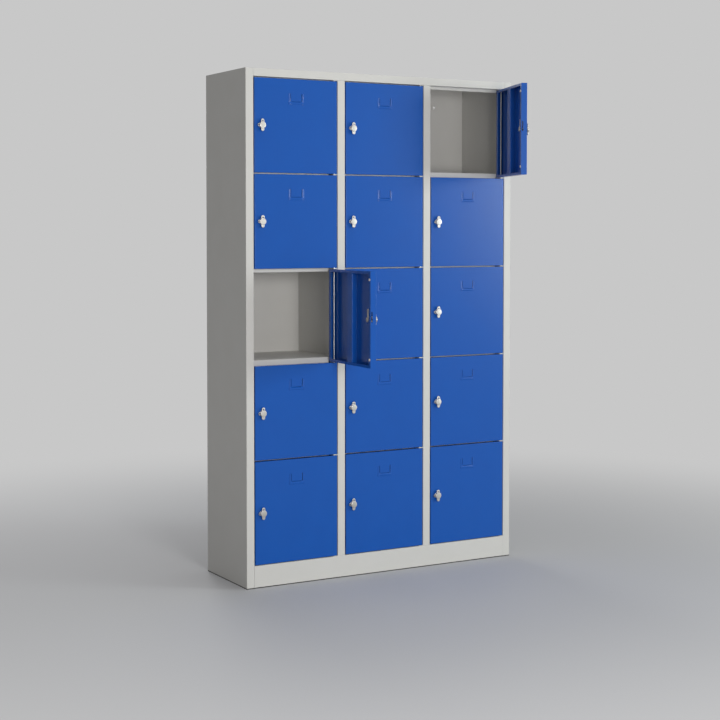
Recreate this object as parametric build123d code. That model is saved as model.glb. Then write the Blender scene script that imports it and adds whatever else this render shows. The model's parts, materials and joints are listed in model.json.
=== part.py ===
from build123d import *
import os

# A sheet-steel locker cabinet: three columns of five lockers, each with its own door and padlock latch.
# Millimetres, +Z up. The origin lies on the floor, at the middle of the cabinet's base.
# The door fronts face -Y, the hinges are on the right of each door and the latches on the left.

# Cabinet
height = 1950.0
width = 1200.0
depth = 360.0
column_count = 3
row_count = 5
bottom_row_extra_height = 35.0
plinth_height = 85.0
top_rail_height = 30.0
stile_width = 32.0

# Sheets and bends
body_sheet = 0.8
shelf_sheet = 0.8
door_sheet = 0.8
bend_radius = 1.8
cut_overrun = 2.0

# Stiles and flanges
stile_return_depth = 38.0
stile_lip = 11.0
back_flange = 20.0
floor_flange = 40.0
floor_flange_end_gap = 12.0
divider_flange = 14.0

# Shelves and the lips behind the doors
lip_above_row = 18.0
lip_below_row = 12.0
lip_return = 14.0
lip_front_gap = 3.5
shelf_side_flange = 15.0
shelf_side_gap = 0.3

# Fixing holes
floor_hole_radius = 4.5
floor_hole_side_inset = 24.0
floor_hole_end_inset = 70.0
wall_hole_radius = 4.5
wall_hole_side_inset = 145.0
wall_hole_drop = 82.0
washer_plate_size = 26.0
washer_plate_sheet = 2.0

# Rivets that hold the back panel to the dividers
rivet_end_inset = 205.0
rivet_radius = 2.0
rivet_head_radius = 4.0
rivet_head_height = 0.7
rivet_count = 8

# Doors
door_depth = 24.0
lock_side_gap = 3.8
hinge_side_gap = 3.0
row_gap = 5.0
rail_gap = 4.0
top_lip = 10.0
lock_lip = 14.0
hinge_lip = 20.0
stiffener_face = 40.0
stiffener_depth = 21.0
stiffener_foot = 20.0
stiffener_end_gap = 6.0

# Label frame of beads pressed up from the door skin, open at its top
label_width = 65.0
label_height = 42.0
label_drop = 55.0
label_side_band = 8.0
label_foot_band = 11.0
label_rise = 1.5
label_bevel = 1.1
label_slot_width = 1.6
label_foot_slot_width = 1.4
label_slot_bridge = 2.5

# Hinges
hinge_inset = 12.5
hinge_setback = 7.0
rod_radius = 3.0
rod_door_clearance = 0.08
rod_seat_clearance = 0.04
lug_sheet = 1.5
lug_width = 18.5
lug_slot_width = 6.0
lug_slot_height = 8.0
lug_nose_radius = 6.0
lug_corner_radius = 4.0
hinge_washer_radius = 5.5
hinge_washer_sheet = 0.7

# Latches
latch_inset = 29.5
spindle_radius = 4.0
spindle_clearance = 0.08
base_radius = 11.5
base_thickness = 3.0
base_boss_radius = 9.0
base_boss_height = 5.0
base_ear_reach = 18.6
base_ear_width = 12.0
eye_radius = 2.4
eye_offset = 15.0
knob_radius = 12.5
knob_thickness = 6.0
knob_edge_radius = 1.5
knob_ear_reach = 23.5
knob_ear_width = 14.0
knob_ear_thickness = 4.0
knob_gap = 0.4
cam_reach = 40.0
cam_width = 14.0
cam_thickness = 2.5
cam_depth = 17.0
cam_slot_clearance = 1.5
nut_flats = 17.0
nut_thickness = 4.0
locknut_radius = 12.0
locknut_thickness = 3.0
skin_hole_radius = 8.0
buffer_radius = 4.5
buffer_length = 2.6
buffer_inset = 31.0

# Doors that stand open, as (column, row) and degrees
open_angles = {(1, 3): 87.0, (3, 1): 71.0}

left_x = -width / 2
right_x = width / 2
front_y = -depth / 2
back_y = depth / 2
panel_top = height - body_sheet
rail_bottom = height - top_rail_height
opening_width = (width - (column_count + 1) * stile_width) / column_count
column_pitch = opening_width + stile_width
lip_y = front_y + door_depth + lip_front_gap
back_panel_y = back_y - 2 * body_sheet
stile_back_y = front_y + stile_return_depth
upper_row_height = (rail_bottom - plinth_height - bottom_row_extra_height) / row_count
door_width = opening_width - lock_side_gap - hinge_side_gap
hinge_edge = hinge_inset - hinge_side_gap
lock_edge = hinge_edge - door_width
skin_y = -hinge_setback
latch_x = lock_edge + latch_inset
cam_y = skin_y + cam_depth


def row_levels():
    """Heights of the lines between rows, from the top rail down to the plinth."""
    upper = [rail_bottom - row * upper_row_height for row in range(row_count)]
    return upper + [plinth_height]


def opening_left(column):
    """The left edge of a column's openings, with columns counted from 1."""
    return left_x + stile_width + (column - 1) * column_pitch


def opening_right(column):
    return opening_left(column) + opening_width


def divider_x(divider):
    """The middle of a divider, counted from 1."""
    return opening_right(divider) + stile_width / 2


def door_height(row):
    """A door keeps half a row gap to each neighbour, and the top one keeps the rail gap."""
    levels = row_levels()
    gap_above = rail_gap if row == 1 else row_gap / 2
    return levels[row - 1] - levels[row] - row_gap / 2 - gap_above


def latch_height(row):
    """The latch sits at the middle of its door."""
    return door_height(row) / 2


def block(x0, x1, y0, y1, z0, z1):
    """A box between two corners."""
    return Pos((x0 + x1) / 2, (y0 + y1) / 2, (z0 + z1) / 2) * Box(x1 - x0, y1 - y0, z1 - z0)


def joined(pieces):
    """One solid of pieces that touch or overlap."""
    return pieces[0].fuse(*pieces[1:]).clean()


def bent_sheet_upright(points, sheet, low, high, side):
    """A sheet folded along points in plan, as tall as low to high."""
    line = FilletPolyline(*points, radius=bend_radius)
    outline = offset(line, amount=sheet, side=side)
    return Pos(0, 0, low) * extrude(make_face(outline), high - low, dir=(0, 0, 1))


def bent_sheet_level(points, sheet, start, end, side):
    """A sheet folded along (y, z) points, running in X from start to end."""
    plane = Plane(origin=(start, 0, 0), x_dir=(0, 1, 0), z_dir=(1, 0, 0))
    line = FilletPolyline(*points, radius=bend_radius)
    outline = offset(line, amount=sheet, side=side)
    return extrude(plane * make_face(outline), end - start, dir=(1, 0, 0))


def rod_along_z(radius, x, y, low, high):
    return Pos(x, y, (low + high) / 2) * Cylinder(radius, high - low)


def rod_along_y(radius, x, z, front, back):
    return Pos(x, (front + back) / 2, z) * Rot(90, 0, 0) * Cylinder(radius, back - front)


def cam_slot_range():
    """How far below and above the latch axis the slot for a turning cam reaches."""
    edge = latch_inset - door_sheet
    above = (cam_reach**2 - edge**2) ** 0.5
    return -cam_width / 2 - cam_slot_clearance, above + cam_slot_clearance


def cam_slot(x0, x1, axis_z, axis_y):
    """The hole that the cam passes through, cut in a wall between x0 and x1."""
    below, above = cam_slot_range()
    y0 = axis_y - cam_slot_clearance
    y1 = axis_y + cam_thickness + cam_slot_clearance
    return block(x0, x1, y0, y1, axis_z + below, axis_z + above)


def strike_slots(return_x):
    """Cam slots in the stile wall on the left of a column of doors."""
    levels = row_levels()
    slots = []
    for row in range(1, row_count + 1):
        axis_z = levels[row] + row_gap / 2 + latch_height(row)
        axis_y = front_y + hinge_setback + cam_y
        slots.append(cam_slot(return_x - bend_radius, return_x + cut_overrun, axis_z, axis_y))
    return slots


def left_side_panel():
    """Outer wall, front stile with its return, back flange and floor flange."""
    stile_edge = left_x + stile_width
    points = [
        (left_x + back_flange, back_y),
        (left_x, back_y),
        (left_x, front_y),
        (stile_edge, front_y),
        (stile_edge, stile_back_y),
        (stile_edge - stile_lip, stile_back_y),
    ]
    wall = bent_sheet_upright(points, body_sheet, 0, panel_top, Side.LEFT)
    floor_front = stile_back_y + floor_flange_end_gap
    floor_back = back_panel_y - floor_flange_end_gap
    foot = block(left_x, left_x + floor_flange, floor_front, floor_back, 0, body_sheet)
    return joined([wall, foot])


def with_floor_holes(panel, side):
    """A side panel with the two holes of its floor flange."""
    hole_x = side * (width / 2 - floor_hole_side_inset)
    for hole_y in (front_y + floor_hole_end_inset, back_y - floor_hole_end_inset):
        panel -= rod_along_z(floor_hole_radius, hole_x, hole_y, -cut_overrun, body_sheet + cut_overrun)
    return panel


def side_panels():
    plain = left_side_panel()
    left = with_floor_holes(plain, -1) - strike_slots(left_x + stile_width)
    right = with_floor_holes(mirror(plain, Plane.YZ), 1)
    return left, right


def folded_tube(x0, x1, y0, y1, low, high):
    """A box section folded from sheet, with rounded corners and no joint yet."""
    outer = block(x0, x1, y0, y1, low, high)
    outer = fillet(outer.edges().filter_by(Axis.Z), bend_radius)
    inner = block(x0 + body_sheet, x1 - body_sheet, y0 + body_sheet, y1 - body_sheet, low, high)
    inner = fillet(inner.edges().filter_by(Axis.Z), bend_radius - body_sheet)
    return outer - inner


def mid_stile(divider):
    """The folded channel on a divider's front edge; it stands on the plinth."""
    x0 = opening_right(divider)
    x1 = x0 + stile_width
    wall_x = divider_x(divider) - body_sheet / 2
    channel = folded_tube(x0, x1, front_y, stile_back_y, plinth_height, rail_bottom)
    wall_seat = block(
        wall_x,
        wall_x + body_sheet,
        stile_back_y - body_sheet,
        stile_back_y + cut_overrun,
        plinth_height,
        rail_bottom,
    )
    return channel - wall_seat - strike_slots(x1)


def rivet_heights():
    """Rivets up a divider, evenly spaced between its end insets."""
    pitch = (height - 2 * rivet_end_inset) / (rivet_count - 1)
    return [rivet_end_inset + step * pitch for step in range(rivet_count)]


def rivet_x(divider):
    """Rivets pass the middle of the flange at a divider's back edge."""
    return divider_x(divider) + divider_flange / 2


def rivet_hole(divider, z):
    front = back_panel_y - body_sheet - cut_overrun
    back = back_panel_y + body_sheet + cut_overrun
    return rod_along_y(rivet_radius, rivet_x(divider), z, front, back)


def divider_wall(divider):
    """A wall between two columns, with a flange against the back panel."""
    x0 = divider_x(divider) - body_sheet / 2
    x1 = x0 + body_sheet
    plinth_back = lip_y + lip_return
    wall = block(x0, x1, plinth_back, back_panel_y, 0, panel_top)
    nose = block(x0, x1, stile_back_y - body_sheet, plinth_back, plinth_height, panel_top)
    flange_front = back_panel_y - body_sheet
    flange = block(x0, x0 + divider_flange, flange_front, back_panel_y, 0, panel_top)
    holes = [rivet_hole(divider, z) for z in rivet_heights()]
    return joined([wall, nose, flange]) - holes


def back_panel():
    """One flat sheet in front of the side panels' back flanges."""
    x0 = left_x + bend_radius
    panel = block(x0, -x0, back_panel_y, back_panel_y + body_sheet, 0, panel_top)
    for divider in range(1, column_count):
        panel -= [rivet_hole(divider, z) for z in rivet_heights()]
    return panel - wall_holes()


def wall_hole_places():
    """Places of the two wall fixings, as (x, z)."""
    x = width / 2 - wall_hole_side_inset
    z = height - wall_hole_drop
    return [(-x, z), (x, z)]


def wall_holes():
    front = back_panel_y - washer_plate_sheet - cut_overrun
    back = back_y + cut_overrun
    return [rod_along_y(wall_hole_radius, x, z, front, back) for x, z in wall_hole_places()]


def wall_washers():
    """Square load plates on the inside of the back panel."""
    half = washer_plate_size / 2
    front = back_panel_y - washer_plate_sheet
    plates = []
    for (x, z), hole in zip(wall_hole_places(), wall_holes()):
        plate = block(x - half, x + half, front, back_panel_y, z - half, z + half)
        plates.append(plate - hole)
    return plates


def rivet(divider, z):
    """A rivet with a head behind the back panel and one in front of the divider's flange."""
    x = rivet_x(divider)
    rear = back_panel_y + body_sheet
    fore = back_panel_y - body_sheet
    shank = rod_along_y(rivet_radius, x, z, fore - rivet_head_height, rear + rivet_head_height)
    heads = [
        rod_along_y(rivet_head_radius, x, z, rear, rear + rivet_head_height),
        rod_along_y(rivet_head_radius, x, z, fore - rivet_head_height, fore),
    ]
    return joined([shank] + heads)


def rivets():
    places = [(divider, z) for divider in range(1, column_count) for z in rivet_heights()]
    return [rivet(divider, z) for divider, z in places]


def top_panel():
    """The roof, with the front rail and the short lips behind the top doors."""
    roof = block(left_x, right_x, front_y, back_y, panel_top, height)
    stile_edge = left_x + stile_width
    rail_points = [
        (front_y, height),
        (front_y, rail_bottom),
        (lip_y, rail_bottom),
    ]
    pieces = [roof, bent_sheet_level(rail_points, body_sheet, stile_edge, -stile_edge, Side.LEFT)]
    for column in range(1, column_count + 1):
        x0 = opening_left(column)
        x1 = opening_right(column)
        lip_low = rail_bottom - lip_below_row
        pieces.append(block(x0, x1, lip_y, lip_y + body_sheet, lip_low, rail_bottom + body_sheet))
    return joined(pieces)


def plinth():
    """The kicking board between the side stiles, folded back at the floor and at its top."""
    stile_edge = left_x + stile_width
    points = [
        (front_y + back_flange, 0),
        (front_y, 0),
        (front_y, plinth_height),
        (lip_y + lip_return, plinth_height),
    ]
    return bent_sheet_level(points, body_sheet, stile_edge, -stile_edge, Side.RIGHT)


def bay_walls(column):
    """The inner faces of the two walls of a column."""
    low = left_x + body_sheet if column == 1 else divider_x(column - 1) + body_sheet / 2
    last = column == column_count
    high = right_x - body_sheet if last else divider_x(column) - body_sheet / 2
    return low, high


def lug_slot(x1, level):
    """The slot in a shelf lip that a hinge lug is hooked in through before it is welded."""
    x0 = x1 - lug_slot_width
    half = lug_slot_height / 2
    back = lip_y + shelf_sheet + cut_overrun
    return block(x0, x1, lip_y - cut_overrun, back, level - half, level + half)


def shelf(column, level):
    """A shelf with a folded front lip, widened behind the stiles and flanged at its sides."""
    top = level + lip_above_row
    bottom = level - lip_below_row
    low_x = opening_left(column)
    high_x = opening_right(column)
    points = [
        (lip_y + lip_return, bottom),
        (lip_y, bottom),
        (lip_y, top),
        (back_panel_y, top),
    ]
    front = bent_sheet_level(points, shelf_sheet, low_x, high_x, Side.RIGHT)
    front -= lug_slot(high_x - lug_width, level)
    wall_low, wall_high = bay_walls(column)
    wall_low += shelf_side_gap
    wall_high -= shelf_side_gap
    plate_front = stile_back_y + shelf_side_gap
    plate_back = back_panel_y - body_sheet - shelf_side_gap
    flange_low = top - shelf_side_flange
    under = top - shelf_sheet
    wings = [
        block(wall_low, low_x + bend_radius, plate_front, plate_back, under, top),
        block(high_x - bend_radius, wall_high, plate_front, plate_back, under, top),
        block(wall_low, wall_low + shelf_sheet, plate_front, plate_back, flange_low, top),
        block(wall_high - shelf_sheet, wall_high, plate_front, plate_back, flange_low, top),
    ]
    return joined([front] + wings)


def column_shelves(column):
    return [shelf(column, level) for level in row_levels()[1:-1]]


def bottom_panel():
    """The floor of the lowest lockers: one plate with a lip down to the plinth in each opening."""
    top = plinth_height + lip_above_row
    under = top - shelf_sheet
    pieces = []
    for column in range(1, column_count + 1):
        wall_low, wall_high = bay_walls(column)
        wall_low += shelf_side_gap
        wall_high -= shelf_side_gap
        low_x = opening_left(column)
        high_x = opening_right(column)
        plate_front = stile_back_y + shelf_side_gap
        plate_back = back_panel_y - body_sheet - shelf_side_gap
        tray = [
            block(low_x, high_x, lip_y, plate_back, under, top),
            block(low_x, high_x, lip_y, lip_y + shelf_sheet, plinth_height, top),
            block(wall_low, wall_high, plate_front, plate_back, under, top),
        ]
        pieces.append(joined(tray))
    return pieces


def axis_x(column):
    return opening_right(column) - hinge_inset


def axis_y():
    return front_y + hinge_setback


def hinge_rods():
    """One rod per column, from the plinth to the top rail."""
    columns = range(1, column_count + 1)
    return [rod_along_z(rod_radius, axis_x(c), axis_y(), plinth_height, rail_bottom) for c in columns]


def lug_span(index):
    """The heights of a lug: a single sheet at the ends, a double one between two doors."""
    level = row_levels()[index]
    if index == 0:
        return level - lug_sheet, level
    if index == row_count:
        return level, level + lug_sheet
    return level - lug_sheet, level + lug_sheet


def hinge_lug(column, index):
    """A flat tongue from the shelf lip to the hinge rod, rounded at its nose."""
    low, high = lug_span(index)
    right = opening_right(column)
    x = axis_x(column)
    y = axis_y()
    tongue = block(right - lug_width, right, y, lip_y, low, high)
    nose = block(x - lug_nose_radius, right, y - lug_nose_radius, y, low, high)
    lug = joined([tongue, nose])
    corner = lug.edges().filter_by(Axis.Z).group_by(Axis.Y)[0].sort_by(Axis.X)[0]
    lug = fillet(corner, lug_corner_radius)
    hole = rod_along_z(rod_radius + rod_seat_clearance, x, y, low - cut_overrun, high + cut_overrun)
    return lug - hole


def hinge_lugs():
    places = [(c, i) for c in range(1, column_count + 1) for i in range(row_count + 1)]
    return [hinge_lug(column, index) for column, index in places]


def hinge_washer(column, index):
    """A plain washer that a door's lower flange turns on."""
    low = lug_span(index)[1]
    high = low + hinge_washer_sheet
    disc = rod_along_z(hinge_washer_radius, axis_x(column), axis_y(), low, high)
    bore = rod_radius + rod_door_clearance
    return disc - rod_along_z(bore, axis_x(column), axis_y(), low - cut_overrun, high + cut_overrun)


def hinge_washers():
    places = [(c, i) for c in range(1, column_count + 1) for i in range(1, row_count + 1)]
    return [hinge_washer(column, index) for column, index in places]


def bead_radius(band):
    """The radius of an arc that is as wide as the band and as high as the label's rise."""
    return ((band / 2) ** 2 + label_rise**2) / (2 * label_rise)


def label_frame(door_top):
    """A U of rounded beads pressed up from the skin, bevelled at their ends."""
    middle = lock_edge + door_width / 2
    x0 = middle - label_width / 2
    x1 = middle + label_width / 2
    top = door_top - label_drop
    bottom = top - label_height
    crest = skin_y - label_rise
    rooted = skin_y + door_sheet / 2
    envelope = block(x0, x1, crest, rooted, bottom, top)
    envelope = chamfer(envelope.faces().sort_by(Axis.Y)[0].edges(), label_bevel)
    side_radius = bead_radius(label_side_band)
    foot_radius = bead_radius(label_foot_band)
    beads = []
    for side_x in (x0 + label_side_band / 2, x1 - label_side_band / 2):
        rod = rod_along_z(side_radius, side_x, crest + side_radius, bottom, top)
        half = label_side_band / 2
        beads.append(rod & block(side_x - half, side_x + half, crest, rooted, bottom, top))
    foot_z = bottom + label_foot_band / 2
    foot = Pos(middle, crest + foot_radius, foot_z) * Rot(0, 90, 0) * Cylinder(foot_radius, label_width)
    beads.append(foot & block(x0, x1, crest, rooted, bottom, bottom + label_foot_band))
    return joined(beads) & envelope


def label_slots(door_top):
    """Three slots round the window of the label frame, for the edges of a card."""
    middle = lock_edge + door_width / 2
    half = label_width / 2 - label_side_band
    top = door_top - label_drop
    bottom = top - label_height + label_foot_band
    near = skin_y - cut_overrun
    far = skin_y + 2 * door_sheet + cut_overrun
    slots = []
    for side in (-1, 1):
        x = middle + side * (half - label_slot_width / 2)
        x0 = x - label_slot_width / 2
        slots.append(block(x0, x0 + label_slot_width, near, far, bottom + label_slot_bridge, top))
    foot_half = half - label_slot_width - label_slot_bridge
    foot_top = bottom + label_foot_slot_width
    slots.append(block(middle - foot_half, middle + foot_half, near, far, bottom, foot_top))
    return slots


def door_pan(tall):
    """The folded door: skin, four flanges and the return lips round its open back."""
    back = skin_y + door_depth
    pan = block(lock_edge, hinge_edge, skin_y, back, 0, tall)
    pan = fillet(pan.faces().sort_by(Axis.Y)[0].edges(), bend_radius)
    hollow = block(
        lock_edge + door_sheet,
        hinge_edge - door_sheet,
        skin_y + door_sheet,
        back - door_sheet,
        door_sheet,
        tall - door_sheet,
    )
    window = block(
        lock_edge + lock_lip,
        hinge_edge - hinge_lip,
        back - door_sheet - cut_overrun,
        back + cut_overrun,
        top_lip,
        tall - top_lip,
    )
    return pan - hollow - window


def door_panel(tall):
    """The door pan with its holes, and the hat-shaped stiffener welded inside it."""
    axis_z = tall / 2
    pan = door_pan(tall).fuse(label_frame(tall))
    pan -= cam_slot(lock_edge - cut_overrun, lock_edge + door_sheet + cut_overrun, axis_z, cam_y)
    pan -= rod_along_y(skin_hole_radius, latch_x, axis_z, skin_y - cut_overrun, skin_y + bend_radius)
    pan -= rod_along_z(rod_radius + rod_door_clearance, 0, 0, -cut_overrun, tall + cut_overrun)
    slots = label_slots(tall)
    return [pan - slots, stiffener(tall) - slots]


def stiffener(tall):
    """A full-height hat section in the middle of the door."""
    middle = lock_edge + door_width / 2
    inner = skin_y + door_sheet
    crown = inner + stiffener_depth
    half = stiffener_face / 2
    points = [
        (middle - half - stiffener_foot, inner),
        (middle - half, inner),
        (middle - half, crown),
        (middle + half, crown),
        (middle + half, inner),
        (middle + half + stiffener_foot, inner),
    ]
    low = door_sheet + stiffener_end_gap
    high = tall - door_sheet - stiffener_end_gap
    return bent_sheet_upright(points, door_sheet, low, high, Side.LEFT)


def buffers(tall):
    """Two soft buttons on the lock-side lip, which meet the frame when the door shuts."""
    back = skin_y + door_depth
    x = lock_edge + lock_lip / 2
    heights = (buffer_inset, tall - buffer_inset)
    return [rod_along_y(buffer_radius, x, z, back, back + buffer_length) for z in heights]


def ear(angle, ear_width, ear_reach, thickness, front, axis_z):
    """A rounded arm with an eye near its end, turned about the latch axis."""
    half = ear_width / 2
    reach = ear_reach - half
    arm = block(-half, half, front, front + thickness, 0, reach)
    tip = rod_along_y(half, 0, reach, front, front + thickness)
    eye = rod_along_y(eye_radius, 0, eye_offset, front - cut_overrun, front + thickness + cut_overrun)
    turned = Pos(latch_x, 0, axis_z) * Rot(0, angle, 0)
    return turned * joined([arm, tip]), turned * eye


def latch_base(tall):
    """The fixed rosette, with a padlock ear that stands clear of the door for the shackle."""
    axis_z = tall / 2
    front = skin_y - base_thickness
    bore_radius = spindle_radius + spindle_clearance
    plate = rod_along_y(base_radius, latch_x, axis_z, front, skin_y)
    boss_front = front - base_boss_height
    boss = rod_along_y(base_boss_radius, latch_x, axis_z, boss_front, front)
    arm, eye = ear(-90, base_ear_width, base_ear_reach, base_thickness, boss_front, axis_z)
    barrel_back = skin_y + door_sheet + locknut_thickness
    barrel = rod_along_y(skin_hole_radius, latch_x, axis_z, skin_y, barrel_back)
    bore = rod_along_y(bore_radius, latch_x, axis_z, boss_front - cut_overrun, barrel_back + cut_overrun)
    return joined([plate, boss, arm, barrel]) - eye - bore


def latch_ring_nut(tall):
    axis_z = tall / 2
    near = skin_y + door_sheet
    far = near + locknut_thickness
    outer = rod_along_y(locknut_radius, latch_x, axis_z, near, far)
    inner = rod_along_y(skin_hole_radius, latch_x, axis_z, near, far)
    return outer - inner


def door_fittings(tall):
    return [latch_base(tall), latch_ring_nut(tall)] + buffers(tall)


def knob(tall):
    """The turning head: a domed disc with two ears, the upper one with the padlock eye."""
    axis_z = tall / 2
    back = skin_y - base_thickness - base_boss_height - knob_gap
    front = back - knob_thickness
    disc = rod_along_y(knob_radius, latch_x, axis_z, front, back)
    disc = fillet(disc.edges().sort_by(Axis.Y)[0], knob_edge_radius)
    ear_front = back - knob_ear_thickness
    sizes = (knob_ear_width, knob_ear_reach, knob_ear_thickness)
    upper, eye = ear(0, *sizes, ear_front, axis_z)
    lower = ear(180, *sizes, ear_front, axis_z)[0]
    return joined([disc, upper, lower]) - eye, back


def latch(tall):
    """Knob and spindle in one casting, with the cam and the nut that holds it."""
    axis_z = tall / 2
    head, back = knob(tall)
    cam_back = cam_y + cam_thickness
    stem = rod_along_y(spindle_radius, latch_x, axis_z, back, cam_back + nut_thickness)
    body = joined([head, stem])
    half = cam_width / 2
    arm = block(latch_x - half, latch_x + half, cam_y, cam_back, axis_z, axis_z + cam_reach - half)
    tip = rod_along_y(half, latch_x, axis_z + cam_reach - half, cam_y, cam_back)
    hub = rod_along_y(half, latch_x, axis_z, cam_y, cam_back)
    bore = rod_along_y(spindle_radius, latch_x, axis_z, cam_y - cut_overrun, cam_back + cut_overrun)
    cam = joined([arm, tip, hub]) - bore
    hexagon = RegularPolygon(nut_flats / 2, 6, major_radius=False)
    nut = Pos(latch_x, cam_back, axis_z) * Rot(-90, 0, 0) * extrude(hexagon, nut_thickness)
    nut_back = cam_back + nut_thickness + cut_overrun
    nut -= rod_along_y(spindle_radius, latch_x, axis_z, cam_back - cut_overrun, nut_back)
    return [body, cam, nut]


def place_door(column, row):
    """The hinge axis at the door's lower edge, turned to the angle the door stands at."""
    low = row_levels()[row] + row_gap / 2
    angle = open_angles.get((column, row), 0)
    return Pos(axis_x(column), axis_y(), low) * Rot(0, 0, angle)


def write(name, solids):
    """One STEP file for a node, of one solid or of several that stay separate."""
    group = Compound(children=[solid for piece in solids for solid in piece.solids()])
    group.label = name
    export_step(group, os.path.join("parts", name + ".step"))


def write_cabinet():
    left, right = side_panels()
    write("left_side_panel", [left])
    write("right_side_panel", [right])
    dividers = range(1, column_count)
    write("divider_walls", [divider_wall(divider) for divider in dividers])
    write("mid_stiles", [mid_stile(divider) for divider in dividers])
    write("back_panel", [back_panel()])
    write("top_panel", [top_panel()])
    write("bottom_panel", bottom_panel())
    write("plinth", [plinth()])
    for column in range(1, column_count + 1):
        write("shelves_column_%d" % column, column_shelves(column))
    write("hinge_rods", hinge_rods())
    write("hinge_lugs", hinge_lugs())
    write("hinge_washers", hinge_washers())
    write("back_fasteners", rivets() + wall_washers())


def write_doors():
    heights = {row: door_height(row) for row in range(1, row_count + 1)}
    kinds = {}
    for tall in sorted(set(heights.values())):
        kinds[tall] = (door_panel(tall), door_fittings(tall), latch(tall))
    for column in range(1, column_count + 1):
        for row in range(1, row_count + 1):
            place = place_door(column, row)
            panel, fittings, turning = kinds[heights[row]]
            tag = "c%d_r%d" % (column, row)
            write("door_" + tag, [place * piece for piece in panel])
            write("fittings_" + tag, [place * piece for piece in fittings])
            write("latch_" + tag, [place * piece for piece in turning])


os.makedirs("parts", exist_ok=True)
write_cabinet()
write_doors()
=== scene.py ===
# %% [markdown]
# # A locker cabinet with fifteen doors
#
# The CAD model already holds every panel, door, hinge and latch at its real size and place.
# This lesson gives that model its looks: powder-coated sheet steel, nickel-plated castings,
# zinc-plated rods and soft buffers, with the castings modelled again as smooth meshes.
# Nothing here moves a CAD part. Each new piece rides on the CAD body that carries it.

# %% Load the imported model
import json
import math

import bmesh
import bpy
from mathutils import Matrix, Vector


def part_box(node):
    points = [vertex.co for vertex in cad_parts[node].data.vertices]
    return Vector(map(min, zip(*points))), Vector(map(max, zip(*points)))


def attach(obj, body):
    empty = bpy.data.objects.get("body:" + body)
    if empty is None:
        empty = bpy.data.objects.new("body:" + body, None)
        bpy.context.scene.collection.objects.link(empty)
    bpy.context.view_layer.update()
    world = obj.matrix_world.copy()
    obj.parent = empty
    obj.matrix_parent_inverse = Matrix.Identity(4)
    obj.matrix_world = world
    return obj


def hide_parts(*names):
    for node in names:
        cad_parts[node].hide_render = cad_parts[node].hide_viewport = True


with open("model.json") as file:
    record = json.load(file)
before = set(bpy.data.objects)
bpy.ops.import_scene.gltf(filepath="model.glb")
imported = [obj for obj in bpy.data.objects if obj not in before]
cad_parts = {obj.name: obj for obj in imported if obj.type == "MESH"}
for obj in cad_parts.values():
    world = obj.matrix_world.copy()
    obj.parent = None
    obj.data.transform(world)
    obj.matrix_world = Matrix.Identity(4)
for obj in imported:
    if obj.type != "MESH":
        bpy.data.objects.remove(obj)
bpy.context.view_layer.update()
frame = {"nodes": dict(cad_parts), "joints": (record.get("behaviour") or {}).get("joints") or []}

mm = 0.001

# %% [markdown]
# ## Where the camera stands
#
# The picture that this model follows was taken by a level lens, a step to the left of the cabinet,
# so its uprights stay parallel and both the fronts and the left side show. A level view needs the
# lens shifted down. Half of that shift is given up here for a slight downward tilt, which moves
# no edge by more than about two pixels and leaves more room round the cabinet in other views.

# %% Camera
picture_width = 720
focal_length_pixels = 1503.2
sensor_width = 36.0
lens_shift = -0.10  # a share of the picture's width
camera_place = Vector((-3.004, -5.242, 1.352))
camera_turn = math.radians(29.74)
camera_tilt = math.radians(2.25)


def in_scene(name, data):
    """A new object that holds the data, linked to the scene."""
    made = bpy.data.objects.new(name, data)
    bpy.context.scene.collection.objects.link(made)
    return made


camera_data = bpy.data.cameras.new("camera")
camera_data.sensor_width = sensor_width
camera_data.lens = focal_length_pixels / picture_width * sensor_width
camera_data.shift_y = lens_shift
camera = in_scene("camera", camera_data)
camera.location = camera_place
camera.rotation_euler = (math.pi / 2 - camera_tilt, 0, -camera_turn)
bpy.context.scene.camera = camera
print("lens", round(camera_data.lens, 2), "mm")

# %% [markdown]
# ## Helpers for colours and nodes
#
# Paint makers and photographs give colours as sRGB hex values, while a shader works in linear
# light. One function converts them. A second one adds a node, sets its sockets or properties and
# links it, so a material reads as a short list of what feeds what.

# %% Colour and node helpers
def linear(hex_colour):
    """The linear colour of an sRGB hex value such as #CFCFCC."""
    shares = [int(hex_colour[start : start + 2], 16) / 255 for start in (1, 3, 5)]
    light = [s / 12.92 if s <= 0.04045 else ((s + 0.055) / 1.055) ** 2.4 for s in shares]
    return (*light, 1.0)


def add_node(tree, kind, settings=None, links=None):
    """A new node; settings go to its sockets or properties, links join its sockets to others."""
    node = tree.nodes.new(kind)
    for key, value in (settings or {}).items():
        if isinstance(key, int) or key in node.inputs:
            node.inputs[key].default_value = value
        else:
            setattr(node, key, value)
    for key, source in (links or {}).items():
        tree.links.new(source, node.inputs[key])
    return node


def new_material(name):
    """An empty node material with its surface output, and the object coordinates to read."""
    material = bpy.data.materials.new(name)
    material.use_nodes = True
    tree = material.node_tree
    tree.nodes.clear()
    output = add_node(tree, "ShaderNodeOutputMaterial")
    place = add_node(tree, "ShaderNodeTexCoord").outputs["Object"]
    return material, tree, output, place


def per_metre(size):
    """The pattern scale that gives features of a size in metres."""
    return 1 / size


print("a mid grey, #808080, is", round(linear("#808080")[0], 3), "in linear light")
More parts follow.
